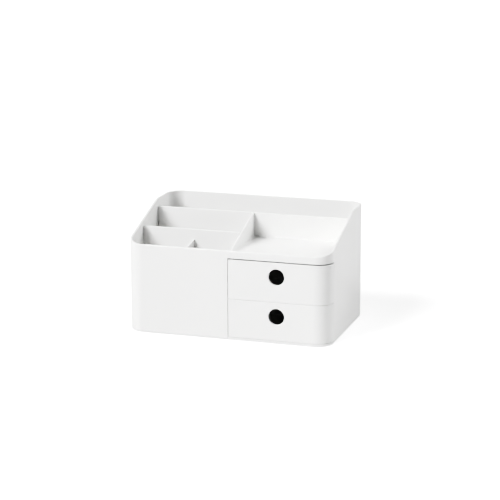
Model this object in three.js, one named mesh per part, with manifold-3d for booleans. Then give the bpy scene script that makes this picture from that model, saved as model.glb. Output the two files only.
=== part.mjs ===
// A white desk organizer with a sloping rim: a full-width file slot at the back, deep pockets on
// the left, and on the right a shallow tray above two drawers that slide out to the front.
// Millimetres, +Z up, the front faces -Y. The origin is on the desk, under the middle of the plan.
import * as THREE from "three";
import { mergeVertices } from "three/addons/utils/BufferGeometryUtils.js";
import Module from "manifold-3d";

const wasm = await Module();
wasm.setup();

// ---- Driving dimensions ----

const GAP = 0.3; // between pieces that touch
const FAR = 400; // longer than the whole object, for cutting tools

// The outside of the housing
const WIDTH = 250;
const DEPTH = 160;
const FOOT_PROUD = 1; // how far the feet hold the housing off the desk
const BACK_HEIGHT = 139.2;
const FRONT_HEIGHT = 106;
const WALL = 2.4;
const CORNER_R = 19.5;
const SLOPE_END_Y = 24; // the rim climbs from the front face to here, then runs level to the back
const SLOPE_BEND_R = 36;
const CORNER_STEPS = 10; // facets to each quarter turn

// The floor
const BASE_T = 3.2;
const LIP_T = 2.1; // its front right edge, which is thinner and shows under the lower drawer
const GROOVE_DEPTH = 0.8; // the dividers stand in grooves this deep

// The upright walls inside
const DIVIDER_T = 2.2;
const REAR_DIVIDER_Y = 24; // its front face
const REAR_DIVIDER_TOP = 130.6;
const MIDDLE_DIVIDER_Y = -26.2; // its front face
const MIDDLE_DIVIDER_TOP = 117;
const PEN_DIVIDER_X = -59.6; // its left face
const PEN_DIVIDER_TOP = 104.5; // at its back end
const PEN_DIVIDER_SLOPE = 0.16; // its top edge falls towards the front, half as steeply as the rim
const PARTITION_X = -0.5; // its left face
const PARTITION_T = 2.3;
const PARTITION_BELOW_RIM = 8.6;

// The drawer bay, right of the partition
const BAY_X = 1.4; // where the front-left panel ends
const BAY_TOP = 98.3; // the underside of the band and of the tray over the drawers
const TRAY_T = 2;
const SHELF_T = 1.8;
const LEDGE_OUT = 1.2; // the ledges that carry the tray and the shelf
const LEDGE_T = 1.2;

// The drawers
const FRONT_T = 2.4;
const LEFT_SEAM = 0.7; // beside the fronts, at the front left panel
const RIGHT_SEAM = 0.4; // at the right side wall
const LOWER_FRONT_TOP = 49.4;
const UPPER_FRONT_TOP = 96.9;
const HOLE_X = 60.9;
const HOLE_D = 19.1;
const HOLE_BELOW_TOP = 17.2; // from a front's top edge to the middle of its finger hole
const TUB_T = 1.8;
const TUB_SIDE_GAP = 1.5; // to the walls of the bay, past the ledges
const TUB_BACK_Y = 21.3;
const TUB_BELOW_ROOF = 3; // from the roof of its bay down to the side walls' top edge
const STOP_TAB_X = [30, 95]; // the raised middle of a tub's back wall
const STOP_TAB_RISE = 2.4;
const STOP_RIB_X = [40, 85]; // the rib under each roof that the raised middle runs against
const STOP_RIB_T = 2;
const STOP_RIB_DROP = 2.3;
const DRAWER_TRAVEL = 75;
const STAKE_D = 3; // the pegs that fix a front to its tub
const STAKE_HEAD_D = 5.4;
const STAKE_HEAD_T = 1.2;
const STAKE_X = [14, 98];
const STAKE_Z = [7, 36]; // above the tub's underside

// The feet
const FOOT_R = 6;
const FOOT_SINK = 0.8;
const FOOT_X = 101;
const FOOT_Y = 58;

// The screws that hold the floor, and the bosses that they go into
const BOSS_R = 3.2;
const BOSS_H = 10.5;
const BOSS_FROM_ARC = 11.5; // from a corner's centre to its boss
const SCREW_R = 1.3;
const SCREW_L = 9.8;
const SCREW_HEAD_R = 2.5;
const SCREW_HEAD_T = 1.4;
const SCREW_RECESS = 2; // how deep the head's counterbore is
const CROSS_W = 0.7;
const CROSS_L = 3;
const CROSS_DEPTH = 0.8;
const PARTITION_SCREW_Y = -66;

// ---- Worked out from those ----

const X_OUT = WIDTH / 2;
const Y_OUT = DEPTH / 2;
const X_IN = X_OUT - WALL;
const Y_IN = Y_OUT - WALL;
const ARC_X = X_OUT - CORNER_R;
const ARC_Y = Y_OUT - CORNER_R;
const RIM_BACK = FOOT_PROUD + BACK_HEIGHT;
const RIM_FRONT = FOOT_PROUD + FRONT_HEIGHT;
const RIM_SLOPE = (RIM_BACK - RIM_FRONT) / (SLOPE_END_Y + Y_OUT);
const FLOOR = FOOT_PROUD + BASE_T;
const LIP_TOP = FOOT_PROUD + LIP_T;
const DIVIDER_FOOT = FLOOR - GROOVE_DEPTH + GAP;
const PARTITION_RIGHT = PARTITION_X + PARTITION_T;
const BAY_BACK_Y = REAR_DIVIDER_Y - GAP;
const SHELF_TOP = LOWER_FRONT_TOP;
const SHELF_BOTTOM = SHELF_TOP - SHELF_T;
const LOWER_FRONT_BOTTOM = LIP_TOP + GAP;
const UPPER_FRONT_BOTTOM = LOWER_FRONT_TOP + GAP;
const LOWER_TUB_BOTTOM = FLOOR + GAP;
const UPPER_TUB_BOTTOM = SHELF_TOP + GAP;
const TUB_LEFT = PARTITION_RIGHT + TUB_SIDE_GAP;
const TUB_RIGHT = X_IN - TUB_SIDE_GAP;
const TUB_FRONT_Y = -Y_IN + GAP;
const STOP_RIB_Y = TUB_BACK_Y - TUB_T - DRAWER_TRAVEL - STOP_RIB_T; // the rib's front face
const BOSS_OFFSET = BOSS_FROM_ARC * Math.SQRT1_2;
const BOSS_X = ARC_X + BOSS_OFFSET;
const BOSS_Y = ARC_Y + BOSS_OFFSET;
const PARTITION_SCREW_X = PARTITION_X - BOSS_R + 1;

// ---- Materials ----

const whitePlastic = new THREE.MeshStandardMaterial({
  color: 0xf2f2f0,
  roughness: 0.42,
  metalness: 0,
});

const naturalPlastic = new THREE.MeshStandardMaterial({
  color: 0xebebe8,
  roughness: 0.5,
  metalness: 0,
});

const footRubber = new THREE.MeshStandardMaterial({
  color: 0xc9c9c6,
  roughness: 0.85,
  metalness: 0,
});

const zincSteel = new THREE.MeshStandardMaterial({
  color: 0xb9bcc0,
  roughness: 0.35,
  metalness: 1,
});

// ---- Solids and meshes ----

// A closed three.js geometry as a solid that can be joined and cut.
function solidOf(geometry) {
  const bare = geometry.clone();
  bare.deleteAttribute("normal");
  bare.deleteAttribute("uv");
  const merged = mergeVertices(bare, 1e-4);
  return new wasm.Manifold(
    new wasm.Mesh({
      numProp: 3,
      vertProperties: merged.attributes.position.array,
      triVerts: new Uint32Array(merged.index.array),
    }),
  );
}

function meshOf(name, solid, material) {
  const made = solid.getMesh();
  const geometry = new THREE.BufferGeometry();
  geometry.setAttribute("position", new THREE.BufferAttribute(made.vertProperties, 3));
  geometry.setIndex(new THREE.BufferAttribute(made.triVerts, 1));
  const mesh = new THREE.Mesh(geometry, material);
  mesh.name = name;
  return mesh;
}

function block(x0, x1, y0, y1, z0, z1) {
  const geometry = new THREE.BoxGeometry(x1 - x0, y1 - y0, z1 - z0);
  geometry.translate((x0 + x1) / 2, (y0 + y1) / 2, (z0 + z1) / 2);
  return solidOf(geometry);
}

// An upright prism over an outline in the XY plane.
function prism(shape, z0, z1) {
  const geometry = new THREE.ExtrudeGeometry(shape, {
    depth: z1 - z0,
    bevelEnabled: false,
  });
  geometry.translate(0, 0, z0);
  return solidOf(geometry);
}

// A prism along X over an outline whose coordinates are Y and Z.
function sidePrism(shape, x0, x1) {
  const geometry = new THREE.ExtrudeGeometry(shape, {
    depth: x1 - x0,
    bevelEnabled: false,
  });
  const turn = new THREE.Matrix4().makeBasis(
    new THREE.Vector3(0, 1, 0),
    new THREE.Vector3(0, 0, 1),
    new THREE.Vector3(1, 0, 0),
  );
  geometry.applyMatrix4(turn);
  geometry.translate(x0, 0, 0);
  return solidOf(geometry);
}

// A cylinder along Z.
function post(x, y, z0, z1, radius, sides = 16) {
  const geometry = new THREE.CylinderGeometry(radius, radius, z1 - z0, sides);
  geometry.rotateX(Math.PI / 2);
  geometry.translate(x, y, (z0 + z1) / 2);
  return solidOf(geometry);
}

// A cylinder along Y.
function rod(x, z, y0, y1, radius, sides = 20) {
  const geometry = new THREE.CylinderGeometry(radius, radius, y1 - y0, sides);
  geometry.translate(x, (y0 + y1) / 2, z);
  return solidOf(geometry);
}

// Points along an arc, from one angle to another.
function arc(x, y, radius, from, to, steps) {
  const points = [];
  for (let i = 0; i <= steps; i += 1) {
    const angle = from + ((to - from) * i) / steps;
    points.push(new THREE.Vector2(x + radius * Math.cos(angle), y + radius * Math.sin(angle)));
  }
  return points;
}

// A quarter turn at a corner of a plan, or the plain corner where the radius is 0.
function corner(x, y, radius, from) {
  const steps = radius > 0 ? CORNER_STEPS : 0;
  return steps ? arc(x, y, radius, from, from + Math.PI / 2, steps) : [new THREE.Vector2(x, y)];
}

// A rectangle whose corners are rounded, anticlockwise from the front left one.
function roundedPlan(x0, x1, y0, y1, radii) {
  const [frontLeft, frontRight, backRight, backLeft] = radii;
  return new THREE.Shape([
    ...corner(x0 + frontLeft, y0 + frontLeft, frontLeft, Math.PI),
    ...corner(x1 - frontRight, y0 + frontRight, frontRight, 1.5 * Math.PI),
    ...corner(x1 - backRight, y1 - backRight, backRight, 0),
    ...corner(x0 + backLeft, y1 - backLeft, backLeft, 0.5 * Math.PI),
  ]);
}

// The housing's plan, drawn in from the outside by a distance.
function housingPlan(inset) {
  const r = CORNER_R - inset;
  const x = X_OUT - inset;
  const y = Y_OUT - inset;
  return roundedPlan(-x, x, -y, y, [r, r, r, r]);
}

// A plate's outline in the drawer bay, which follows the rounded front right corner.
function bayPlan() {
  const r = CORNER_R - WALL - GAP;
  const left = PARTITION_RIGHT + GAP;
  return roundedPlan(left, X_IN - GAP, -Y_IN + GAP, BAY_BACK_Y, [0, r, 0, 0]);
}

function rimHeight(y) {
  return RIM_FRONT + RIM_SLOPE * (y + Y_OUT);
}

// ---- The housing ----

// Everything below the rim, seen from the side.
function belowRim() {
  const angle = Math.atan(RIM_SLOPE);
  const reach = SLOPE_BEND_R * Math.tan(angle / 2); // from the bend to where its arc starts
  const beyond = Y_OUT + 10;
  const up = Math.PI / 2;
  const bend = arc(SLOPE_END_Y + reach, RIM_BACK - SLOPE_BEND_R, SLOPE_BEND_R, up, up + angle, 4);
  const shape = new THREE.Shape([
    new THREE.Vector2(-beyond, 0),
    new THREE.Vector2(beyond, 0),
    new THREE.Vector2(beyond, RIM_BACK),
    ...bend,
    new THREE.Vector2(-beyond, rimHeight(-beyond)),
  ]);
  return sidePrism(shape, -FAR / 2, FAR / 2);
}

// The post in a corner that a screw from below goes into, with a web to the corner's wall.
function cornerBoss(signX, signY) {
  const z0 = FLOOR + GAP;
  const z1 = z0 + BOSS_H;
  const web = new THREE.BoxGeometry(CORNER_R - WALL / 2 - BOSS_FROM_ARC, 1.6, BOSS_H);
  web.translate((CORNER_R - WALL / 2 + BOSS_FROM_ARC) / 2, 0, (z0 + z1) / 2);
  web.rotateZ(Math.atan2(signY, signX));
  web.translate(signX * ARC_X, signY * ARC_Y, 0);
  const boss = post(signX * BOSS_X, signY * BOSS_Y, z0, z1, BOSS_R).add(solidOf(web));
  return boss.subtract(screwBore(signX * BOSS_X, signY * BOSS_Y));
}

function screwBore(x, y) {
  return post(x, y, FOOT_PROUD, FLOOR + BOSS_H - 1.5, SCREW_R + GAP, 12);
}

// The two ledges on one wall of the bay, which carry the shelf and the tray.
function ledges(x0, x1, y0) {
  const under = (roof) => block(x0, x1, y0, BAY_BACK_Y - GAP, roof - GAP - LEDGE_T, roof - GAP);
  return under(SHELF_BOTTOM).add(under(BAY_TOP));
}

// The walls, all in one: a full ring at the top, open at the front right below the band.
function outerShell() {
  const outside = prism(housingPlan(0), FOOT_PROUD, RIM_BACK);
  const inside = prism(housingPlan(WALL), 0, RIM_BACK + 1);
  const opening = block(BAY_X, FAR, -FAR, -ARC_Y, 0, BAY_TOP);
  const walls = outside.subtract(inside).intersect(belowRim()).subtract(opening);
  return walls
    .add(ledges(X_IN - LEDGE_OUT, X_IN + WALL / 2, -ARC_Y))
    .add(cornerBoss(-1, 1))
    .add(cornerBoss(1, 1))
    .add(cornerBoss(-1, -1));
}

// The floor, whose front right edge shows as a lip under the lower drawer.
function basePlate() {
  const lipArea = block(BAY_X + GAP, FAR, -FAR, -ARC_Y - GAP, 0, FLOOR);
  const lip = prism(housingPlan(0), FOOT_PROUD, LIP_TOP).intersect(lipArea);
  let plate = prism(housingPlan(WALL + GAP), FOOT_PROUD, FLOOR).add(lip);
  for (const tool of [...grooves(), ...screwHoles(), ...footPockets()]) {
    plate = plate.subtract(tool);
  }
  return plate;
}

function grooves() {
  const z0 = FLOOR - GROOVE_DEPTH;
  const z1 = FLOOR + 1;
  const rearFront = REAR_DIVIDER_Y - GAP;
  const rearBack = REAR_DIVIDER_Y + DIVIDER_T + GAP;
  const middleBack = MIDDLE_DIVIDER_Y + DIVIDER_T + GAP;
  const penRight = PEN_DIVIDER_X + DIVIDER_T + GAP;
  return [
    block(-X_OUT, X_OUT, rearFront, rearBack, z0, z1),
    block(PARTITION_X - GAP, PARTITION_RIGHT + GAP, -Y_IN + 0.1, rearFront + 0.1, z0, z1),
    block(-X_OUT, PARTITION_X, MIDDLE_DIVIDER_Y - GAP, middleBack, z0, z1),
    block(PEN_DIVIDER_X - GAP, penRight, -Y_IN + 0.1, MIDDLE_DIVIDER_Y, z0, z1),
  ];
}

// Where the four screws stand.
const SCREW_PLACES = {
  back_left: [-BOSS_X, BOSS_Y],
  back_right: [BOSS_X, BOSS_Y],
  front_left: [-BOSS_X, -BOSS_Y],
  front_centre: [PARTITION_SCREW_X, PARTITION_SCREW_Y],
};

const FOOT_PLACES = {
  back_left: [-FOOT_X, FOOT_Y],
  back_right: [FOOT_X, FOOT_Y],
  front_left: [-FOOT_X, -FOOT_Y],
  front_right: [FOOT_X, -FOOT_Y],
};

function screwHoles() {
  return Object.values(SCREW_PLACES).flatMap(([x, y]) => [
    screwBore(x, y),
    post(x, y, 0, FOOT_PROUD + SCREW_RECESS, SCREW_HEAD_R + GAP),
  ]);
}

function footPockets() {
  return Object.values(FOOT_PLACES).map(([x, y]) =>
    post(x, y, 0, FOOT_PROUD + FOOT_SINK, FOOT_R + GAP, 24),
  );
}

// ---- The walls inside ----

// The wall between the pockets and the drawer bay. Its top edge slopes with the rim.
function centrePartition() {
  const y0 = -Y_IN + GAP;
  const y1 = BAY_BACK_Y;
  const shape = new THREE.Shape();
  shape.moveTo(y0, DIVIDER_FOOT);
  shape.lineTo(y1, DIVIDER_FOOT);
  shape.lineTo(y1, rimHeight(y1) - PARTITION_BELOW_RIM);
  shape.lineTo(y0, rimHeight(y0) - PARTITION_BELOW_RIM);
  shape.closePath();
  const bossBottom = FLOOR + GAP;
  const boss = post(PARTITION_SCREW_X, PARTITION_SCREW_Y, bossBottom, bossBottom + BOSS_H, BOSS_R);
  const clearOfBay = block(PARTITION_RIGHT, FAR, -FAR, FAR, 0, FAR);
  return sidePrism(shape, PARTITION_X, PARTITION_RIGHT)
    .add(boss.subtract(clearOfBay))
    .subtract(screwBore(PARTITION_SCREW_X, PARTITION_SCREW_Y))
    .add(ledges(PARTITION_RIGHT - 1, PARTITION_RIGHT + LEDGE_OUT, -Y_IN + 3 * TUB_T));
}

function rearDivider() {
  const x = X_IN - GAP;
  const back = REAR_DIVIDER_Y + DIVIDER_T;
  return block(-x, x, REAR_DIVIDER_Y, back, DIVIDER_FOOT, REAR_DIVIDER_TOP);
}

function middleDivider() {
  const back = MIDDLE_DIVIDER_Y + DIVIDER_T;
  const right = PARTITION_X - GAP;
  return block(-X_IN + GAP, right, MIDDLE_DIVIDER_Y, back, DIVIDER_FOOT, MIDDLE_DIVIDER_TOP);
}

function penDivider() {
  const y0 = -Y_IN + GAP;
  const y1 = MIDDLE_DIVIDER_Y - GAP;
  const shape = new THREE.Shape();
  shape.moveTo(y0, DIVIDER_FOOT);
  shape.lineTo(y1, DIVIDER_FOOT);
  shape.lineTo(y1, PEN_DIVIDER_TOP);
  shape.lineTo(y0, PEN_DIVIDER_TOP - PEN_DIVIDER_SLOPE * (y1 - y0));
  shape.closePath();
  return sidePrism(shape, PEN_DIVIDER_X, PEN_DIVIDER_X + DIVIDER_T);
}

// ---- The roofs of the two drawer bays ----

function roof(z0, z1) {
  const ribBack = STOP_RIB_Y + STOP_RIB_T;
  const rib = block(...STOP_RIB_X, STOP_RIB_Y, ribBack, z0 - STOP_RIB_DROP, z0 + 0.5);
  return prism(bayPlan(), z0, z1).add(rib);
}

function topTray() {
  return roof(BAY_TOP, BAY_TOP + TRAY_T);
}

function drawerShelf() {
  return roof(SHELF_BOTTOM, SHELF_TOP);
}

// ---- The drawers ----

// The visible front, which turns the corner to meet the side wall, with pegs to its tub.
function drawerFront(bottom, top, tubBottom) {
  const area = block(BAY_X + LEFT_SEAM, FAR, -FAR, -ARC_Y - RIGHT_SEAM, bottom, top);
  const ring = prism(housingPlan(0), bottom, top).subtract(prism(housingPlan(FRONT_T), 0, FAR));
  const holeZ = top - HOLE_BELOW_TOP;
  let front = ring.intersect(area).subtract(rod(HOLE_X, holeZ, -FAR, 0, HOLE_D / 2, 32));
  const headY = TUB_FRONT_Y + TUB_T + GAP;
  for (const x of STAKE_X) {
    for (const z of STAKE_Z) {
      const peg = rod(x, tubBottom + z, -Y_IN - 0.5, headY + 0.2, STAKE_D / 2, 12);
      const head = rod(x, tubBottom + z, headY, headY + STAKE_HEAD_T, STAKE_HEAD_D / 2, 12);
      front = front.add(peg).add(head);
    }
  }
  return front;
}

// The open box behind a front. Its back wall's raised middle stops it against the rib above.
function drawerTub(bottom, roofHeight, frontTop) {
  const top = roofHeight - TUB_BELOW_ROOF;
  const r = X_IN - TUB_SIDE_GAP - ARC_X;
  const outline = (t) =>
    roundedPlan(
      TUB_LEFT + t,
      TUB_RIGHT - t,
      TUB_FRONT_Y + t,
      TUB_BACK_Y - t,
      [3 - t, r - t, 3 - t, 3 - t],
    );
  const tabTop = top + STOP_TAB_RISE;
  const tab = block(...STOP_TAB_X, TUB_BACK_Y - TUB_T, TUB_BACK_Y, top - 1, tabTop);
  let tub = prism(outline(0), bottom, top).subtract(prism(outline(TUB_T), bottom + TUB_T, FAR));
  tub = tub.add(tab);
  const wallFront = TUB_FRONT_Y - 1;
  const wallBack = TUB_FRONT_Y + TUB_T + 1;
  const holeZ = frontTop - HOLE_BELOW_TOP;
  tub = tub.subtract(rod(HOLE_X, holeZ, wallFront, wallBack, HOLE_D / 2 + GAP, 32));
  for (const x of STAKE_X) {
    for (const z of STAKE_Z) {
      tub = tub.subtract(rod(x, bottom + z, wallFront, wallBack, STAKE_D / 2 + GAP, 12));
    }
  }
  return tub;
}

// ---- Feet and screws ----

function foot([x, y]) {
  const top = FOOT_PROUD + FOOT_SINK - GAP;
  const profile = [
    new THREE.Vector2(0, 0),
    new THREE.Vector2(FOOT_R - 0.5, 0),
    new THREE.Vector2(FOOT_R, 0.5),
    new THREE.Vector2(FOOT_R, top),
    new THREE.Vector2(0, top),
  ];
  const geometry = new THREE.LatheGeometry(profile, 24);
  geometry.rotateX(Math.PI / 2);
  geometry.translate(x, y, 0);
  return solidOf(geometry);
}

// A self-tapping screw with a cross recess, head down.
function baseScrew([x, y]) {
  const headTop = FOOT_PROUD + SCREW_RECESS - GAP;
  const headBottom = headTop - SCREW_HEAD_T;
  const tip = headTop + SCREW_L;
  const profile = [
    new THREE.Vector2(0, headBottom),
    new THREE.Vector2(SCREW_HEAD_R - 0.6, headBottom),
    new THREE.Vector2(SCREW_HEAD_R, headBottom + 0.7),
    new THREE.Vector2(SCREW_HEAD_R, headTop),
    new THREE.Vector2(SCREW_R, headTop),
    new THREE.Vector2(SCREW_R, tip - 2),
    new THREE.Vector2(0, tip),
  ];
  const geometry = new THREE.LatheGeometry(profile, 12);
  geometry.rotateX(Math.PI / 2);
  geometry.translate(x, y, 0);
  const a = CROSS_L / 2;
  const b = CROSS_W / 2;
  const z1 = headBottom + CROSS_DEPTH;
  return solidOf(geometry)
    .subtract(block(x - a, x + a, y - b, y + b, 0, z1))
    .subtract(block(x - b, x + b, y - a, y + a, 0, z1));
}

// ---- The assembly ----

const housing = new THREE.Group();
housing.name = "housing";
housing.add(meshOf("outer_shell", outerShell(), whitePlastic));
housing.add(meshOf("base_plate", basePlate(), whitePlastic));
housing.add(meshOf("centre_partition", centrePartition(), whitePlastic));
housing.add(meshOf("rear_divider", rearDivider(), whitePlastic));
housing.add(meshOf("middle_divider", middleDivider(), whitePlastic));
housing.add(meshOf("pen_divider", penDivider(), whitePlastic));
housing.add(meshOf("top_tray", topTray(), whitePlastic));
housing.add(meshOf("drawer_shelf", drawerShelf(), naturalPlastic));
for (const [place, at] of Object.entries(FOOT_PLACES)) {
  housing.add(meshOf("foot_" + place, foot(at), footRubber));
}
for (const [place, at] of Object.entries(SCREW_PLACES)) {
  housing.add(meshOf("base_screw_" + place, baseScrew(at), zincSteel));
}

function drawer(name, [frontBottom, frontTop], tubBottom, roofHeight) {
  const group = new THREE.Group();
  group.name = name;
  const front = drawerFront(frontBottom, frontTop, tubBottom);
  const tub = drawerTub(tubBottom, roofHeight, frontTop);
  group.add(meshOf(name + "_front", front, whitePlastic));
  group.add(meshOf(name + "_tub", tub, naturalPlastic));
  return group;
}

const UPPER_FRONT = [UPPER_FRONT_BOTTOM, UPPER_FRONT_TOP];
const LOWER_FRONT = [LOWER_FRONT_BOTTOM, LOWER_FRONT_TOP];

const organizer = new THREE.Group();
organizer.name = "desk_organizer";
organizer.add(housing);
organizer.add(drawer("upper_drawer", UPPER_FRONT, UPPER_TUB_BOTTOM, BAY_TOP));
organizer.add(drawer("lower_drawer", LOWER_FRONT, LOWER_TUB_BOTTOM, SHELF_BOTTOM));

export default organizer;
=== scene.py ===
"""A white desk organizer: a moulded shell with a sloping rim, pockets, a tray and two drawers.

Every visible piece is a closed mesh made here, with rounded edges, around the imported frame.
Metres, +Z up, the front faces -Y.
"""
import math

import bmesh
import bpy
from mathutils import Matrix, Vector


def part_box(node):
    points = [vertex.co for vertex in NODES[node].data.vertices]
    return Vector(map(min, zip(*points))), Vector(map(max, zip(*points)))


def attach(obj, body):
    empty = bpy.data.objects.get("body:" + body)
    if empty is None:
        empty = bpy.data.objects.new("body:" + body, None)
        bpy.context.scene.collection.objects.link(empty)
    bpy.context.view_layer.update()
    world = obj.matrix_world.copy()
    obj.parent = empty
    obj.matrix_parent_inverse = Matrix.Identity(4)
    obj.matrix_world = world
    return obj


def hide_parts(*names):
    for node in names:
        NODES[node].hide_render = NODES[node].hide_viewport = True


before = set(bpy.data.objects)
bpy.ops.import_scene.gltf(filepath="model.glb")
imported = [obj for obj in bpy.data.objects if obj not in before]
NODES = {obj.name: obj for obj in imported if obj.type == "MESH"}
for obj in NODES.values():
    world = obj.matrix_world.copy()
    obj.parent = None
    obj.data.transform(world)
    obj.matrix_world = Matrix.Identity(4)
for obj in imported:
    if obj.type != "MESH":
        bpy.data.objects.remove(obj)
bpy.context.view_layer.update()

MM = 0.001
FAR = 1.0  # metres: past every face of the object, for the tools that cut right through
MERGE = 0.002 * MM  # points closer than this are one

# ---- Driving dimensions that a node's box doesn't give ----
# A ROOT is how far a shape starts inside the one it is joined to.

GAP = 0.3 * MM  # between touching solids of the frame
FIT = 0.14 * MM  # the gap left between touching mouldings here
GROWTH = GAP - FIT  # how much further a moulding reaches than its solid

# The shell and the drawers' opening, called the bay
WALL = 2.4 * MM
CORNER_R = 19.5 * MM
FRONT_RIM = 107 * MM
SLOPE_END_Y = 24 * MM  # where the sloping rim would meet the level one
SLOPE_BEND_R = 36 * MM
BAY_X = 1.4 * MM  # its left edge
BAY_TOP = 98.3 * MM
BAY_CORNER_R = 0.6 * MM
BAY_HAIR = 0.04 * MM  # how far short of the corner's arc it ends, so no face lies on the cut
RIGHT_SEAM = 0.4 * MM  # between the fronts and the side wall
LIP_TOP = 3.1 * MM

# The walls, the shelf and the tray inside it
PARTITION_T = 2.3 * MM
PEN_DIVIDER_SLOPE = 0.16
LEDGE_T = 1.2 * MM  # a ledge is as thick as it stands out
LEDGE_ROOT = 1 * MM
LEDGE_FROM_FRONT = 5.4 * MM  # where the partition's ledges begin, from the shell's inside
TRAY_T = 2 * MM
TRAY_COVE = 2.6 * MM
COVE_START = math.radians(24)  # where the tray's floor leaves the cove's arc
COVE_STEPS = 8
SHELF_T = 1.8 * MM

# The drawers. A stake is a peg on a front that holds its tub.
TUB_T = 1.8 * MM
TUB_FLOOR_R = 2.2 * MM
TUB_CORNER_R = 3 * MM
TUB_INNER_R = TUB_FLOOR_R + 0.1 * MM  # the least radius of the inside's corners
TUB_UNDER_R = 1.0 * MM
TUB_ABOVE = 5 * MM  # how far the inside's tool stands over the walls
FINGER_HOLE_R = 9.55 * MM
FINGER_HOLE_X = 60.9 * MM
FINGER_HOLE_DOWN = 17.2 * MM  # below the front's top edge
HOLE_TOOL_OUT = 1 * MM  # how far a hole's tool stands out of the faces it cuts
STAKE_R = 1.5 * MM
STAKE_HEAD_R = 2.7 * MM
STAKE_HEAD_T = 1.2 * MM
STAKE_RIM = 0.35  # the share of a head's height that is its straight side
STAKE_DOME_STEPS = 6
STAKE_ROOT = 0.6 * MM
STAKE_HOLE_FROM = 1 * MM  # where its hole's tool starts before the tub, and ends inside it
STAKE_HOLE_TO = 3 * MM
STAKE_X = (14 * MM, 98 * MM)
STAKE_UP = (7 * MM, 36 * MM)  # above the tub's underside

# The stops: a tab on a tub's back wall meets a rib under the tray or the shelf.
STOP_TAB_X = (30 * MM, 95 * MM)
STOP_TAB_H = 2.4 * MM
STOP_TAB_ROOT = 1 * MM
STOP_RIB_X = (40 * MM, 85 * MM)
STOP_RIB_T = 2 * MM
STOP_RIB_ROOT = 0.5 * MM
DRAWER_TRAVEL = 75 * MM

# The screws' bosses and the floor
BOSS_R = 3.2 * MM
BOSS_H = 10.5 * MM
BOSS_FROM_ARC = 11.5 * MM  # from the centre of a corner's arc
BOSS_CAP = 1.5 * MM  # left solid over a bore
BOSS_ROOT = 0.1 * MM
WEB_T = 1.6 * MM
WEB_DROP = 0.5 * MM  # below the top of its boss
BORE_R = 1.6 * MM
GROOVE_DEPTH = 0.8 * MM
COUNTERBORE_R = 2.8 * MM
COUNTERBORE_DEPTH = 2 * MM
FOOT_SINK = 0.8 * MM

# The feet and the screws
FOOT_RING_SHARES = (0.36, 0.62)  # where the grooves under a foot begin, as shares of its radius
FOOT_GROOVE = 0.22 * MM
FOOT_GROOVE_STEPS = (0.15 * MM, 0.45 * MM, 0.6 * MM)  # its flat bottom's two sides, and its end
FOOT_R = 0.45 * MM
FOOT_CHAMFER = 0.1 * MM
SCREW_SHANK_R = 1.3 * MM
SCREW_CORE = 0.74  # the share of the shank's radius between the threads
SCREW_HEAD_T = 1.4 * MM
SCREW_DOME = 0.8 * MM
SCREW_DOME_STEPS = 7
SCREW_HEAD_CHAMFER = 0.05 * MM
THREAD_PITCH = 1.1 * MM
THREAD_START = 0.5 * MM  # over the head
THREAD_RISE = 0.2 * MM
THREAD_END = 1.6 * MM  # under the tip
SCREW_POINT = 1.8 * MM
RECESS_LONG = 1.5 * MM  # half the length of the cross's bars
RECESS_NARROW = 0.35 * MM  # half their width
RECESS_DEPTH = 0.8 * MM

# Edge rounding
RIM_R = 0.95 * MM
EDGE_R = 0.5 * MM
CUT_R = 0.3 * MM  # edges left by a cut
PLATE_R = 0.3 * MM  # the tray's underside and the shelf
BASE_EDGE_R = 0.28 * MM
PARTITION_CUT_R = 0.25 * MM
TUB_EDGE_R = 0.4 * MM
HOLE_EDGE_R = 0.45 * MM
TUB_HOLE_EDGE_R = 0.3 * MM
DIVIDER_R = 0.75 * MM
SECTION_SPARE = 1e-6  # keeps the arcs of a front's section open where it is drawn in
LEAST_R = 1e-7  # keeps the points of an arc that is drawn in to nothing apart
SHARP = math.radians(35)  # an edge that turns more than this is rounded by soften

# How finely curves are cut up
ARC_STEPS = ((8 * MM, 28), (2 * MM, 12), (0.0, 5))  # (radius above which, steps in the arc)
EDGE_STEPS = 5
SOFT_SEGMENTS = 3
FLAT_FACE_WEIGHT = 60  # how strongly large faces keep the shading of their roundings flat
BEND_STEPS = 14
BEND_MARGIN = 1.05  # how far past the rim's bend the close points go
HOLE_STEPS = 96
HOLE_EDGE_STEPS = 6
FOOT_STEPS = 64
ROUND_STEPS = 32
BORE_STEPS = 24

# ---- Places read from the frame ----

shell_low, shell_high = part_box("outer_shell")
X_OUT = shell_high.x
Y_OUT = shell_high.y
BASE_Z = shell_low.z
BACK_RIM = shell_high.z
X_IN = X_OUT - WALL
Y_IN = Y_OUT - WALL
ARC_X = X_OUT - CORNER_R
ARC_Y = Y_OUT - CORNER_R
RIM_SLOPE = (BACK_RIM - FRONT_RIM) / (SLOPE_END_Y + Y_OUT)

base_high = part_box("base_plate")[1]
FLOOR_Z = base_high.z
rear_low, rear_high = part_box("rear_divider")
middle_low, middle_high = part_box("middle_divider")
pen_low, pen_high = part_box("pen_divider")
partition_low, partition_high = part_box("centre_partition")
tray_low, tray_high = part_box("top_tray")
shelf_low, shelf_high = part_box("drawer_shelf")
PARTITION_RIGHT = tray_low.x - GAP
PARTITION_LEFT = PARTITION_RIGHT - PARTITION_T
STOP_RIB_DROP = tray_high.z - TRAY_T - tray_low.z


# ---- Mesh tools ----


def obj_of(name, bm):
    """A new object from a bmesh, its faces turned outwards."""
    bmesh.ops.remove_doubles(bm, verts=bm.verts, dist=MERGE)
    bmesh.ops.recalc_face_normals(bm, faces=bm.faces)
    mesh = bpy.data.meshes.new(name)
    bm.to_mesh(mesh)
    bm.free()
    obj = bpy.data.objects.new(name, mesh)
    bpy.context.scene.collection.objects.link(obj)
    return obj


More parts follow.
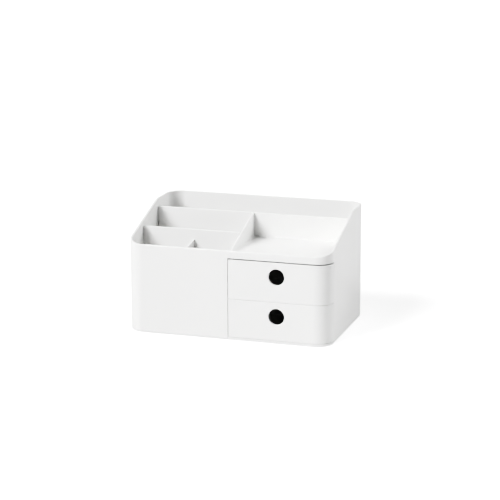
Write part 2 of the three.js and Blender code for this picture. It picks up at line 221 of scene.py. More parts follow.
def loft(name, rings, closed=False):
    """Quads between rings of as many points. The first and last ring are capped, or joined."""
    bm = bmesh.new()
    made = [[bm.verts.new(p) for p in ring] for ring in rings]
    count = len(rings[0])
    pairs = list(zip(made, made[1:]))
    if closed:
        pairs.append((made[-1], made[0]))
    for a, b in pairs:
        for i in range(count):
            j = (i + 1) % count
            bm.faces.new((a[i], a[j], b[j], b[i]))
    if not closed:
        bm.faces.new(made[0])
        bm.faces.new(made[-1])
    return obj_of(name, bm)


def corner_steps(radius):
    """How many steps a corner's arc gets: more on a wide one, none on a sharp one."""
    for above, steps in ARC_STEPS:
        if radius > above:
            return steps
    return 0


def rounded_polygon(corners, radii, inset=0.0):
    """An anticlockwise convex outline drawn in by a distance, each corner an arc."""
    count = len(corners)
    points = []
    for i, (radius, here) in enumerate(zip(radii, corners)):
        here = Vector(here)
        before = (here - Vector(corners[i - 1])).normalized()
        after = (Vector(corners[(i + 1) % count]) - here).normalized()
        turn = -before.angle_signed(after)
        inward = (after - before).normalized()
        here = here + inward * (inset / math.cos(turn / 2))
        steps = corner_steps(radius)
        if steps == 0:
            points.append(here)
            continue
        r = max(radius - inset, LEAST_R)
        centre = here + inward * (r / math.cos(turn / 2))
        start = math.atan2(before.y, before.x) - math.pi / 2
        for k in range(steps + 1):
            angle = start + turn * k / steps
            points.append(centre + r * Vector((math.cos(angle), math.sin(angle))))
    return points


def rectangle(x0, x1, y0, y1):
    """Four corners, anticlockwise from the low ones."""
    return [(x0, y0), (x1, y0), (x1, y1), (x0, y1)]


# Where a point of an outline (u, v) goes, at a distance w along each axis.
AXES = {
    "X": lambda u, v, w: (w, u, v),
    "Y": lambda u, v, w: (u, w, v),
    "Z": lambda u, v, w: (u, v, w),
}


def quarter(r, rising):
    """(inset, depth) pairs round a quarter circle at an edge, from the flat to the side."""
    steps = EDGE_STEPS if r > 0 else 0
    pairs = []
    for k in range(steps + 1):
        angle = math.pi / 2 * (1 - k / steps) if steps else 0
        pairs.append((r * (1 - math.cos(angle)), r * (1 - math.sin(angle))))
    return pairs if rising else pairs[::-1]


def slab(name, corners, radii, low, high, low_r=0.0, high_r=0.0, axis="Z"):
    """A plate over an outline, from low to high along an axis, with rounded edges."""
    place = AXES[axis]
    rings = []
    for inset, depth in quarter(low_r, True):
        outline = rounded_polygon(corners, radii, inset)
        rings.append([place(p.x, p.y, low + depth) for p in outline])
    for inset, depth in quarter(high_r, False):
        outline = rounded_polygon(corners, radii, inset)
        rings.append([place(p.x, p.y, high - depth) for p in outline])
    return loft(name, rings)


def block(x0, x1, y0, y1, z0, z1):
    """A box with sharp edges, as a tool."""
    return slab("tool", rectangle(x0, x1, y0, y1), [0, 0, 0, 0], z0, z1)


def lathe(name, profile, centre, axis="Z", steps=ROUND_STEPS):
    """A turned solid: profile is (radius, height) from one end of the axis to the other."""
    place = AXES[axis]
    bm = bmesh.new()
    rings = []
    for radius, height in profile:
        ring = []
        for k in range(steps if radius > 0 else 1):
            angle = 2 * math.pi * k / steps
            u = radius * math.cos(angle)
            v = radius * math.sin(angle)
            ring.append(bm.verts.new(Vector(place(u, v, height)) + Vector(centre)))
        rings.append(ring)
    for a, b in zip(rings, rings[1:]):
        for i in range(steps):
            j = (i + 1) % steps
            around = [a[i % len(a)], a[j % len(a)], b[j % len(b)], b[i % len(b)]]
            face = list(dict.fromkeys(around))
            if len(face) > 2:
                bm.faces.new(face)
    for ring in (rings[0], rings[-1]):
        if len(ring) > 1:
            bm.faces.new(ring)
    return obj_of(name, bm)


def cylinder(centre, radius, low, high, axis="Z", steps=ROUND_STEPS):
    """A plain round tool."""
    return lathe("tool", [(radius, low), (radius, high)], centre, axis, steps)


def combine(obj, tool, operation):
    """Joins a tool to an object or cuts it away, and removes the tool."""
    change = obj.modifiers.new("combine", "BOOLEAN")
    change.object = tool
    change.operation = operation
    change.solver = "EXACT"
    graph = bpy.context.evaluated_depsgraph_get()
    mesh = bpy.data.meshes.new_from_object(obj.evaluated_get(graph))
    obj.modifiers.clear()
    old = obj.data
    obj.data = mesh
    bpy.data.meshes.remove(old)
    bpy.data.objects.remove(tool)


def join(obj, *tools):
    """Adds tools to an object."""
    for tool in tools:
        combine(obj, tool, "UNION")


def cut(obj, *tools):
    """Takes tools away from an object."""
    for tool in tools:
        combine(obj, tool, "DIFFERENCE")


def soften(obj, radius):
    """Rounds each edge that is still sharp."""
    bm = bmesh.new()
    bm.from_mesh(obj.data)
    bmesh.ops.remove_doubles(bm, verts=bm.verts, dist=MERGE)
    bmesh.ops.dissolve_degenerate(bm, edges=bm.edges, dist=MERGE)
    sharp = [e for e in bm.edges if e.is_manifold and e.calc_face_angle(0) > SHARP]
    bmesh.ops.bevel(
        bm,
        geom=sharp,
        offset=radius,
        offset_type="OFFSET",
        segments=SOFT_SEGMENTS,
        profile=0.5,
        affect="EDGES",
        clamp_overlap=True,
        loop_slide=True,
    )
    bmesh.ops.remove_doubles(bm, verts=bm.verts, dist=MERGE / 2)
    bm.to_mesh(obj.data)
    bm.free()


def finish_piece(obj, name, body, slot, *nodes):
    """Names a piece, smooths its shading, ties it to its body and hides the frame nodes it stands
    for.
    """
    obj.name = name
    obj.data.name = name
    for polygon in obj.data.polygons:
        polygon.use_smooth = True
    weighted = obj.modifiers.new("weighted_normals", "WEIGHTED_NORMAL")
    weighted.weight = FLAT_FACE_WEIGHT
    obj.data.materials.clear()
    obj.data.materials.append(MATERIALS[slot])
    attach(obj, body)
    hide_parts(*nodes)


# ---- Materials ----

# How much the marks on the plastic change its roughness, and its bumps' height.
SCUFF_ROUGHNESS = 0.07
EDGE_POLISH = 0.09
COARSE_HEIGHT = 0.8
SCUFF_DEPTH = 0.4


def node_at(tree, kind, **inputs):
    """A new shader node, with values for its inputs by name."""
    node = tree.nodes.new(kind)
    for name, value in inputs.items():
        node.inputs[name.replace("_", " ")].default_value = value
    return node


def noise(tree, coordinates, scale, detail=2.0, rough=0.5):
    """Noise of about 0 to 1, with this many bumps to a metre."""
    node = node_at(tree, "ShaderNodeTexNoise", Scale=scale, Detail=detail, Roughness=rough)
    tree.links.new(coordinates, node.inputs["Vector"])
    return node.outputs["Fac"]


def mapped(tree, value, low, high, to_low=0.0, to_high=1.0):
    """A value's range from low to high, turned into another range and held inside it."""
    node = node_at(
        tree,
        "ShaderNodeMapRange",
        From_Min=low,
        From_Max=high,
        To_Min=to_low,
        To_Max=to_high,
    )
    tree.links.new(value, node.inputs["Value"])
    return node.outputs["Result"]


def maths(tree, operation, a, b):
    """A sum, difference or product of two values, each a number or a socket."""
    node = tree.nodes.new("ShaderNodeMath")
    node.operation = operation
    for value, socket in ((a, node.inputs[0]), (b, node.inputs[1])):
        if isinstance(value, (int, float)):
            socket.default_value = value
        else:
            tree.links.new(value, socket)
    return node.outputs[0]


def stretched(tree, coordinates, scale, turn):
    """Coordinates scaled differently on each axis, then turned."""
    node = node_at(tree, "ShaderNodeMapping", Scale=scale, Rotation=turn)
    tree.links.new(coordinates, node.inputs["Vector"])
    return node.outputs["Vector"]


def blend(tree, factor, first, second):
    """A colour that goes from the first to the second with a factor of 0 to 1."""
    node = tree.nodes.new("ShaderNodeMix")
    node.data_type = "RGBA"
    node.inputs["A"].default_value = (*first, 1)
    node.inputs["B"].default_value = (*second, 1)
    tree.links.new(factor, node.inputs["Factor"])
    return node.outputs["Result"]


def bumped(tree, height, strength, distance):
    """The normal of a surface that a height makes uneven."""
    node = node_at(tree, "ShaderNodeBump", Strength=strength, Distance=distance)
    tree.links.new(height, node.inputs["Height"])
    return node.outputs["Normal"]


def blank(name):
    """A new material, with its tree, its shader and the object's coordinates."""
    material = bpy.data.materials.new(name)
    material.use_nodes = True
    tree = material.node_tree
    shader = tree.nodes["Principled BSDF"]
    coordinates = tree.nodes.new("ShaderNodeTexCoord").outputs["Object"]
    return material, tree, shader, coordinates


def edge_mask(tree, radius):
    """1 on an edge's rounding and 0 on flats, from how far a wider rounding turns the normal."""
    bevel = tree.nodes.new("ShaderNodeBevel")
    bevel.samples = 4
    bevel.inputs["Radius"].default_value = radius
    geometry = tree.nodes.new("ShaderNodeNewGeometry")
    dot = tree.nodes.new("ShaderNodeVectorMath")
    dot.operation = "DOT_PRODUCT"
    tree.links.new(bevel.outputs["Normal"], dot.inputs[0])
    tree.links.new(geometry.outputs["Normal"], dot.inputs[1])
    return mapped(tree, dot.outputs["Value"], low=0.995, high=0.9)


def moulded_plastic(name, light, dark, rough_low, rough_high, grain):
    """Satin moulded plastic: fine spark-eroded grain, flow mottling, faint handling scuffs."""
    material, tree, shader, coordinates = blank(name)
    links = tree.links

    flow = mapped(tree, noise(tree, coordinates, scale=14.0, detail=3.0), 0.35, 0.7)
    links.new(blend(tree, flow, light, dark), shader.inputs["Base Color"])

    fine = noise(tree, coordinates, scale=2600.0, rough=0.6)
    coarse = noise(tree, coordinates, scale=420.0)
    scuff_way = stretched(tree, coordinates, scale=(900.0, 40.0, 260.0), turn=(0.3, 0.2, 0.5))
    scuffs = mapped(tree, noise(tree, scuff_way, scale=1.0, detail=1.0), 0.66, 0.74)
    patches = mapped(tree, noise(tree, coordinates, scale=30.0, detail=1.0), 0.52, 0.68)
    scuffed = maths(tree, "MULTIPLY", scuffs, patches)
    worn = edge_mask(tree, radius=0.7 * MM)

    rough = mapped(tree, coarse, 0.3, 0.7, rough_low, rough_high)
    rough = maths(tree, "ADD", rough, maths(tree, "MULTIPLY", scuffed, SCUFF_ROUGHNESS))
    rough = maths(tree, "SUBTRACT", rough, maths(tree, "MULTIPLY", worn, EDGE_POLISH))
    links.new(rough, shader.inputs["Roughness"])

    height = maths(tree, "ADD", fine, maths(tree, "MULTIPLY", coarse, COARSE_HEIGHT))
    height = maths(tree, "SUBTRACT", height, maths(tree, "MULTIPLY", scuffed, SCUFF_DEPTH))
    normal = bumped(tree, height, strength=grain, distance=0.03 * MM)
    links.new(normal, shader.inputs["Normal"])

    shader.inputs["IOR"].default_value = 1.5
    shader.inputs["Specular IOR Level"].default_value = 0.45
    return material


def foot_rubber(name):
    """Grey rubber with fine pores, dusty in patches."""
    material, tree, shader, coordinates = blank(name)
    links = tree.links
    dust = noise(tree, coordinates, scale=260.0, detail=4.0, rough=0.65)
    dusty = mapped(tree, dust, 0.4, 0.65)
    colour = blend(tree, dusty, (0.34, 0.34, 0.33), (0.46, 0.46, 0.44))
    links.new(colour, shader.inputs["Base Color"])
    links.new(mapped(tree, dust, 0.3, 0.7, 0.72, 0.9), shader.inputs["Roughness"])
    pores = noise(tree, coordinates, scale=1800.0, detail=3.0, rough=0.7)
    normal = bumped(tree, pores, strength=0.25, distance=0.06 * MM)
    links.new(normal, shader.inputs["Normal"])
    return material


def zinc_steel(name):
    """Bright zinc-plated steel with a faint spangle."""
    material, tree, shader, coordinates = blank(name)
    links = tree.links
    spangle = noise(tree, coordinates, scale=900.0, detail=3.0, rough=0.6)
    bright = mapped(tree, spangle, 0.4, 0.62)
    colour = blend(tree, bright, (0.62, 0.64, 0.68), (0.76, 0.76, 0.74))
    links.new(colour, shader.inputs["Base Color"])
    links.new(mapped(tree, spangle, 0.3, 0.7, 0.26, 0.42), shader.inputs["Roughness"])
    normal = bumped(tree, spangle, strength=0.15, distance=0.02 * MM)
    links.new(normal, shader.inputs["Normal"])
    shader.inputs["Metallic"].default_value = 1.0
    return material


MATERIALS = {
    "white_plastic": moulded_plastic(
        "satin_white_plastic",
        light=(0.9, 0.9, 0.892),
        dark=(0.885, 0.885, 0.877),
        rough_low=0.36,
        rough_high=0.46,
        grain=0.2,
    ),
    "inner_plastic": moulded_plastic(
        "plain_white_plastic",
        light=(0.88, 0.88, 0.872),
        dark=(0.86, 0.86, 0.85),
        rough_low=0.44,
        rough_high=0.56,
        grain=0.3,
    ),
    "foot_rubber": foot_rubber("grey_foot_rubber"),
    "zinc_steel": zinc_steel("zinc_plated_steel"),
}


# ---- The shell ----


def slope_height(y):
    """The height of the sloping rim's straight line at a depth."""
    return FRONT_RIM + RIM_SLOPE * (y + Y_OUT)


def rim_height(y):
    """The height of the rim at a depth: a slope, a bend, then level."""
    angle = math.atan(RIM_SLOPE)
    centre_y = SLOPE_END_Y + SLOPE_BEND_R * math.tan(angle / 2)
    if y >= centre_y:
        return BACK_RIM
    if y > centre_y - SLOPE_BEND_R * math.sin(angle):
        return BACK_RIM - SLOPE_BEND_R + math.sqrt(SLOPE_BEND_R**2 - (y - centre_y) ** 2)
    return slope_height(y)


def side_depths():
    """Where along a side wall the rim needs a point."""
    half = SLOPE_BEND_R * math.tan(math.atan(RIM_SLOPE) / 2) * BEND_MARGIN
    bend = [SLOPE_END_Y + half * (2 * k / BEND_STEPS - 1) for k in range(BEND_STEPS + 1)]
    return [-ARC_Y / 2, 0.0, *bend]


def shell_outline():
    """(x, y, inward x, inward y) round the outside, anticlockwise from the left front."""
    centres = ((-ARC_X, -ARC_Y), (ARC_X, -ARC_Y), (ARC_X, ARC_Y), (-ARC_X, ARC_Y))
    steps = corner_steps(CORNER_R)
    points = []
    for index, (cx, cy) in enumerate(centres):
        for k in range(steps + 1):
            angle = math.pi + (index + k / steps) * math.pi / 2
            c = math.cos(angle)
            s = math.sin(angle)
            points.append((cx + CORNER_R * c, cy + CORNER_R * s, -c, -s))
        if index == 1:
            points += [(X_OUT, y, -1, 0) for y in side_depths()]
        if index == 3:
            points += [(-X_OUT, y, 1, 0) for y in reversed(side_depths())]
    return points


def shell_section():
    """(distance in from the outside, height, whether the height hangs from the rim)."""
    section = [(inset, depth, False) for inset, depth in quarter(EDGE_R, False)]
    section += [(WALL - inset, depth, False) for inset, depth in quarter(EDGE_R, True)]
    section += [(WALL - inset, depth, True) for inset, depth in quarter(RIM_R, False)]
    section += [(inset, depth, True) for inset, depth in quarter(RIM_R, True)]
    return section


def shell_walls():
    """The walls and their rim, one closed loop round the housing."""
    rings = []
    for x, y, inward_x, inward_y in shell_outline():
        ring = []
        for distance, depth, at_rim in shell_section():
            px = x + inward_x * distance
            py = y + inward_y * distance
            pz = rim_height(py) - depth if at_rim else BASE_Z + depth
            ring.append((px, py, pz))
        rings.append(ring)
    return loft("shell", rings, closed=True)


def ledges(x0, x1, y0, y1):
    """The ledges that carry the shelf and the tray on one wall of the drawer bay."""
    made = []
    for roof in (shelf_high.z - SHELF_T, BAY_TOP):
        top = roof - GAP
        made.append(block(x0, x1, y0, y1, top - LEDGE_T, top))
    return made


def boss(x, y):
    """A round post over the floor that a screw goes up into."""
    z0 = FLOOR_Z + GAP
    return cylinder((x, y, 0), BOSS_R, z0, z0 + BOSS_H)


def bore(x, y):
    """The tool for a screw's hole."""
    return cylinder((x, y, 0), BORE_R, 0, FLOOR_Z + BOSS_H - BOSS_CAP, steps=BORE_STEPS)


def corner_web(sign_x, sign_y):
    """The web from a corner's boss out to its wall."""
    z0 = FLOOR_Z + GAP
    far = CORNER_R - WALL / 2
    web = block(BOSS_FROM_ARC, far, -WEB_T / 2, WEB_T / 2, z0, z0 + BOSS_H - WEB_DROP)
    turn = Matrix.Rotation(math.atan2(sign_y, sign_x), 4, "Z")
    web.data.transform(Matrix.Translation((sign_x * ARC_X, sign_y * ARC_Y, 0)) @ turn)
    return web


BOSS_OUT = BOSS_FROM_ARC * math.sqrt(0.5)  # along each axis
CORNER_BOSSES = {
    # screw: (side along X, side along Y)
    "back_left": (-1, 1),
    "back_right": (1, 1),
    "front_left": (-1, -1),
}


def boss_place(sign_x, sign_y):
    """Where a corner's boss stands, on the diagonal from the centre of the corner's arc."""
    return sign_x * (ARC_X + BOSS_OUT), sign_y * (ARC_Y + BOSS_OUT)


def make_shell():
    """The walls with the drawers' opening, the bay's ledges and three corner bosses."""
    shell = shell_walls()
    cut(shell, block(BAY_X, FAR, -FAR, -ARC_Y - BAY_HAIR, -FAR, BAY_TOP))
    back = rear_low.y - GAP - FIT
    join(shell, *ledges(X_IN - LEDGE_T, X_IN + WALL / 2, -ARC_Y + EDGE_R, back))
    for signs in CORNER_BOSSES.values():
        x, y = boss_place(*signs)
        join(shell, boss(x, y), corner_web(*signs))
        cut(shell, bore(x, y))
    soften(shell, CUT_R)
    finish_piece(shell, "outer_shell_moulding", "housing", "white_plastic", "outer_shell")


# ---- The floor ----


def screw_places():
    """(x, y) of each screw, by the end of its name."""
    places = {name: boss_place(*signs) for name, signs in CORNER_BOSSES.items()}
    low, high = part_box("base_screw_front_centre")
    middle = (low + high) / 2
    places["front_centre"] = (middle.x, middle.y)
    return places


def foot_places():
    """(x, y) of each foot, by its node's name."""
    places = {}
    for name in NODES:
        if name.startswith("foot_"):
            low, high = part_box(name)
            places[name] = ((low.x + high.x) / 2, (low.y + high.y) / 2)
    return places


def make_base():
    """The floor with a lip under the drawers, grooves for the walls, screw holes and foot pockets."""
    r = CORNER_R - WALL - FIT
    x = X_IN - FIT
    y = Y_IN - FIT
    plate = slab("base", rectangle(-x, x, -y, y), [r] * 4, BASE_Z, FLOOR_Z)
    outside = rectangle(-X_OUT, X_OUT, -Y_OUT, Y_OUT)
    lip = slab("lip", outside, [CORNER_R] * 4, BASE_Z, LIP_TOP)
    cut(
        lip,
        block(-FAR, BAY_X + GAP, -FAR, FAR, -FAR, FAR),
        block(-FAR, FAR, -ARC_Y - GAP, FAR, -FAR, FAR),
    )
    join(plate, lip)
    z0 = FLOOR_Z - GROOVE_DEPTH
    partition_left = PARTITION_LEFT - GAP
    partition_right = PARTITION_RIGHT + GAP
    cut(
        plate,
        block(-FAR, FAR, rear_low.y - GAP, rear_high.y + GAP, z0, FAR),
        block(partition_left, partition_right, -Y_IN + FIT, rear_low.y, z0, FAR),
        block(-FAR, PARTITION_LEFT, middle_low.y - GAP, middle_high.y + GAP, z0, FAR),
        block(pen_low.x - GAP, pen_high.x + GAP, -Y_IN + FIT, middle_low.y, z0, FAR),
    )
    for px, py in screw_places().values():
        cut(plate, bore(px, py))
        cut(plate, cylinder((px, py, 0), COUNTERBORE_R, -FAR, BASE_Z + COUNTERBORE_DEPTH))
    for name, (px, py) in foot_places().items():
        radius = (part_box(name)[1].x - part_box(name)[0].x) / 2 + GAP
        cut(plate, cylinder((px, py, 0), radius, -FAR, BASE_Z + FOOT_SINK, steps=FOOT_STEPS))
    soften(plate, BASE_EDGE_R)
    finish_piece(plate, "base_plate_moulding", "housing", "white_plastic", "base_plate")


# ---- The walls inside ----


def cross_wall(name, low, high):
    """A flat divider across the housing, its edges well rounded."""
    r = DIVIDER_R
    outline = rectangle(low.x - GROWTH, high.x + GROWTH, low.z, high.z)
    return slab(name, outline, [r] * 4, low.y, high.y, r, r, "Y")


def make_dividers():
    """The two walls across the housing, and the small one in the front pocket, whose top slopes."""
    rear = cross_wall("rear", rear_low, rear_high)
    finish_piece(rear, "rear_divider_moulding", "housing", "white_plastic", "rear_divider")
    middle = cross_wall("middle", middle_low, middle_high)
    finish_piece(middle, "middle_divider_moulding", "housing", "white_plastic", "middle_divider")
    y0 = pen_low.y - GROWTH
    y1 = pen_high.y + GROWTH
    front_top = pen_high.z - PEN_DIVIDER_SLOPE * (y1 - y0)
    corners = [(y0, pen_low.z), (y1, pen_low.z), (y1, pen_high.z), (y0, front_top)]
    r = DIVIDER_R
    pen = slab("pen", corners, [r] * 4, pen_low.x, pen_high.x, r, r, "X")
    finish_piece(pen, "pen_divider_moulding", "housing", "white_plastic", "pen_divider")


def make_partition():
    """The wall between the pockets and the bay, with a sloping top, ledges and a boss."""
    y0 = partition_low.y - GROWTH
    y1 = partition_high.y + GROWTH
    z0 = partition_low.z
    below = slope_height(partition_high.y) - partition_high.z
    corners = [(y0, z0), (y1, z0), (y1, slope_height(y1) - below), (y0, slope_height(y0) - below)]
    r = DIVIDER_R
    wall = slab("partition", corners, [r] * 4, PARTITION_LEFT, PARTITION_RIGHT, r, r, "X")
    ledge_x0 = PARTITION_RIGHT - LEDGE_ROOT
    ledge_y0 = LEDGE_FROM_FRONT - Y_IN
    join(wall, *ledges(ledge_x0, partition_high.x, ledge_y0, y1 - GAP))
    x, y = screw_places()["front_centre"]
    post = boss(x, y)
    cut(post, block(PARTITION_RIGHT - BOSS_ROOT, FAR, -FAR, FAR, -FAR, FAR))
    join(wall, post)
    cut(wall, bore(x, y))
    soften(wall, PARTITION_CUT_R)
    finish_piece(
        wall, "centre_partition_moulding", "housing", "white_plastic", "centre_partition"
    )


# ---- The tray and the shelf ----


def bay_outline():
    """A plate's outline in the bay, with its corner radii. Only the front right is round."""
    corners = rectangle(
        tray_low.x - GROWTH, tray_high.x + GROWTH, tray_low.y - GROWTH, tray_high.y + GROWTH
    )
    return corners, [BAY_CORNER_R, CORNER_R - WALL - FIT, BAY_CORNER_R, BAY_CORNER_R]


def stop_rib(underside):
    """The rib under a roof that stops the drawer below it at the end of its travel."""
    tub_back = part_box("upper_drawer_tub")[1].y
    y0 = tub_back - TUB_T - DRAWER_TRAVEL - STOP_RIB_T
    z0 = underside - STOP_RIB_DROP
    return block(*STOP_RIB_X, y0, y0 + STOP_RIB_T, z0, underside + STOP_RIB_ROOT)


def make_tray():
    """The tray's floor turns up into a cove where it meets the walls."""
    corners, radii = bay_outline()
    top = tray_high.z
    underside = top - TRAY_T
    profile = [(inset, underside + depth) for inset, depth in quarter(PLATE_R, True)]
    for k in range(COVE_STEPS + 1):
        angle = COVE_START + (math.pi / 2 - COVE_START) * k / COVE_STEPS
        inset = TRAY_COVE * (1 - math.cos(angle))
        height = top + TRAY_COVE * (1 - math.sin(angle))
        if k == 0:
            profile.append((0.0, height))
        profile.append((inset, height))
    rings = []
    for inset, z in profile:
        rings.append([(p.x, p.y, z) for p in rounded_polygon(corners, radii, inset)])
    tray = loft("tray", rings)
    join(tray, stop_rib(underside))
    finish_piece(tray, "top_tray_moulding", "housing", "white_plastic", "top_tray")


def make_shelf():
    """The flat plate that the upper drawer runs on."""
    corners, radii = bay_outline()
    underside = shelf_high.z - SHELF_T
    shelf = slab("shelf", corners, radii, underside, shelf_high.z, PLATE_R, PLATE_R)
    join(shelf, stop_rib(underside))
    finish_piece(shelf, "drawer_shelf_moulding", "housing", "inner_plastic", "drawer_shelf")


# ---- The drawers ----


def front_path(x0, y_end):
    """(x, y, inward x, inward y) along a front's outside, from its left end round the corner."""
    points = [(x0, -Y_OUT, 0, 1), (ARC_X, -Y_OUT, 0, 1)]
    steps = corner_steps(CORNER_R)
    last = math.asin((ARC_Y + y_end) / CORNER_R)
    for k in range(1, steps + 1):
        angle = -math.pi / 2 + (math.pi / 2 + last) * k / steps
        c = math.cos(angle)
        s = math.sin(angle)
        points.append((ARC_X + CORNER_R * c, -ARC_Y + CORNER_R * s, -c, -s))
    return points


def end_rounded(path, r):
    """A path whose ends are rounded: each station also says how far its section is drawn in."""
    ends = []
    for at, beside in ((0, 1), (-1, -2)):
        x, y, inward_x, inward_y = path[at]
        end = Vector((x, y))
        way = (Vector(path[beside][:2]) - end).normalized()
        stations = []
        for inset, depth in quarter(r, True):
            p = end + way * depth
            stations.append((p.x, p.y, inward_x, inward_y, inset))
        ends.append(stations)
    return [*ends[0], *((*p, 0.0) for p in path[1:-1]), *reversed(ends[1])]


def front_panel(low, high):
    """A front swept along the housing's outline, every edge rounded."""
    section_corners = rectangle(0, WALL, low.z, high.z)
    radii = [EDGE_R + SECTION_SPARE] * 4
    rings = []
    for x, y, inward_x, inward_y, inset in end_rounded(front_path(low.x, high.y), EDGE_R):
        section = rounded_polygon(section_corners, radii, inset)
        rings.append([(x + inward_x * p.x, y + inward_y * p.x, p.y) for p in section])
    return loft("front", rings)


def hole_arc(edge):
    """(how far in from the widest radius, how far out from the throat) round the rim."""
    pairs = []
    for k in range(HOLE_EDGE_STEPS + 1):
        angle = math.pi / 2 * k / HOLE_EDGE_STEPS
        pairs.append((edge * math.sin(angle), edge * math.cos(angle)))
    return pairs


def finger_hole(z, radius, y_front, y_back, edge):
    """A tool for a round hole along Y whose rim is rounded on both faces."""
    widest = radius + edge
    profile = [(widest, y_front - HOLE_TOOL_OUT)]
    profile += [(widest - i, y_front + edge - d) for i, d in hole_arc(edge)]
    profile += [(widest - i, y_back - edge + d) for i, d in reversed(hole_arc(edge))]
    profile.append((widest, y_back + HOLE_TOOL_OUT))
    return lathe("tool", profile, (FINGER_HOLE_X, 0, z), "Y", HOLE_STEPS)


def stake(x, z, y_from, y_head):
    """A peg with a domed head, along Y."""
    r = STAKE_HEAD_R
    y_dome = y_head + STAKE_RIM * STAKE_HEAD_T
    dome = (1 - STAKE_RIM) * STAKE_HEAD_T
    profile = [(STAKE_R, y_from), (STAKE_R, y_head), (r, y_head), (r, y_dome)]
    for k in range(1, STAKE_DOME_STEPS):
        angle = math.pi / 2 * k / STAKE_DOME_STEPS
        profile.append((r * math.cos(angle), y_dome + dome * math.sin(angle)))
    profile.append((0, y_head + STAKE_HEAD_T))
    return lathe("tool", profile, (x, 0, z), "Y")


def make_front(drawer):
    """A drawer's front, with its finger hole and the pegs that hold it to its tub."""
    node = drawer + "_front"
    low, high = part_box(node)
    tub_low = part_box(drawer + "_tub")[0]
    panel_low = Vector((low.x, -Y_OUT, low.z))
    panel_high = Vector((X_OUT, -ARC_Y - RIGHT_SEAM, high.z))
    front = front_panel(panel_low, panel_high)
    hole_z = high.z - FINGER_HOLE_DOWN
    cut(front, finger_hole(hole_z, FINGER_HOLE_R, -Y_OUT, -Y_IN, HOLE_EDGE_R))
    head_y = tub_low.y + TUB_T + GAP
    for x in STAKE_X:
        for up in STAKE_UP:
            join(front, stake(x, tub_low.z + up, -Y_IN - STAKE_ROOT, head_y))
    finish_piece(front, node + "_moulding", drawer, "white_plastic", node)


def make_tub(drawer):
    """The open box behind a front, with a rounded floor and a raised stop at the back."""
    node = drawer + "_tub"
    low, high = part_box(node)
    front_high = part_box(drawer + "_front")[1]
    wall_top = high.z - STOP_TAB_H
    outside = rectangle(low.x, high.x, low.y, high.y)
    radii = [TUB_CORNER_R, high.x - ARC_X, TUB_CORNER_R, TUB_CORNER_R]
    tub = slab("tub", outside, radii, low.z, wall_top, TUB_UNDER_R, 0)
    inside = rectangle(low.x + TUB_T, high.x - TUB_T, low.y + TUB_T, high.y - TUB_T)
    inner = [max(r - TUB_T, TUB_INNER_R) for r in radii]
    floor_z = low.z + TUB_T
    cut(tub, slab("tool", inside, inner, floor_z, wall_top + TUB_ABOVE, TUB_FLOOR_R, 0))
    join(tub, block(*STOP_TAB_X, high.y - TUB_T, high.y, wall_top - STOP_TAB_ROOT, high.z))
    soften(tub, TUB_EDGE_R)
    hole_z = front_high.z - FINGER_HOLE_DOWN
    tub_hole_r = FINGER_HOLE_R + GAP
    cut(tub, finger_hole(hole_z, tub_hole_r, low.y, low.y + TUB_T, TUB_HOLE_EDGE_R))
    y0 = low.y - STAKE_HOLE_FROM
    y1 = low.y + STAKE_HOLE_TO
    for x in STAKE_X:
        for up in STAKE_UP:
            cut(tub, cylinder((x, 0, low.z + up), STAKE_R + GAP, y0, y1, "Y"))
    finish_piece(tub, node + "_moulding", drawer, "inner_plastic", node)


# ---- Feet and screws ----


def make_feet():
    """Round pads with two shallow grooves underneath."""
    for name, (x, y) in foot_places().items():
        low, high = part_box(name)
        radius = (high.x - low.x) / 2
        top = high.z
        flat_from, flat_to, end = FOOT_GROOVE_STEPS
        profile = [(0.0, 0.0)]
        for share in FOOT_RING_SHARES:
            at = radius * share
            profile += [(at, 0.0), (at + flat_from, FOOT_GROOVE)]
            profile += [(at + flat_to, FOOT_GROOVE), (at + end, 0.0)]
        for inset, depth in quarter(FOOT_R, True):
            profile.append((radius - inset, depth))
        profile += [(radius, top - FOOT_CHAMFER), (radius - FOOT_CHAMFER, top), (0.0, top)]
        foot = lathe("foot", profile, (x, y, 0), steps=FOOT_STEPS)
        finish_piece(foot, name + "_pad", "housing", "foot_rubber", name)


def screw_profile(low, high, head_r):
    """A pan head under a shank whose thread stands out as sharp rings."""
    base = low + SCREW_HEAD_T
    edge = SCREW_HEAD_CHAMFER
    core = SCREW_SHANK_R * SCREW_CORE
    profile = [(0.0, low)]
    for k in range(1, SCREW_DOME_STEPS + 1):
        angle = math.pi / 2 * k / SCREW_DOME_STEPS
        profile.append((head_r * math.sin(angle), low + SCREW_DOME * (1 - math.cos(angle))))
    profile += [(head_r, base - edge), (head_r - edge, base), (core, base)]
    z = base + THREAD_START
    while z + THREAD_PITCH < high - THREAD_END:
        crest = z + THREAD_RISE
        profile += [(core, z), (SCREW_SHANK_R, crest), (core, z + 2 * THREAD_RISE)]
        z += THREAD_PITCH
    profile += [(core, high - SCREW_POINT), (0.0, high)]
    return profile


def cross_recess(x, y, low):
    """The two bars of a cross, cut up into a head from below."""
    a = RECESS_LONG
    b = RECESS_NARROW
    top = low + RECESS_DEPTH
    return [
        block(x - a, x + a, y - b, y + b, -FAR, top),
        block(x - b, x + b, y - a, y + a, -FAR, top),
    ]


def make_screws():
    """Pan-head screws, put in from below."""
    for place, (x, y) in screw_places().items():
        name = "base_screw_" + place
        low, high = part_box(name)
        head_r = (high.x - low.x) / 2
        screw = lathe("screw", screw_profile(low.z, high.z, head_r), (x, y, 0))
        cut(screw, *cross_recess(x, y, low.z))
        finish_piece(screw, name + "_steel", "housing", "zinc_steel", name)


make_shell()
make_base()
make_dividers()
make_partition()
make_tray()
make_shelf()
for drawer_name in ("upper_drawer", "lower_drawer"):
    make_front(drawer_name)
    make_tub(drawer_name)
make_feet()
make_screws()


# ---- Studio, light and camera ----

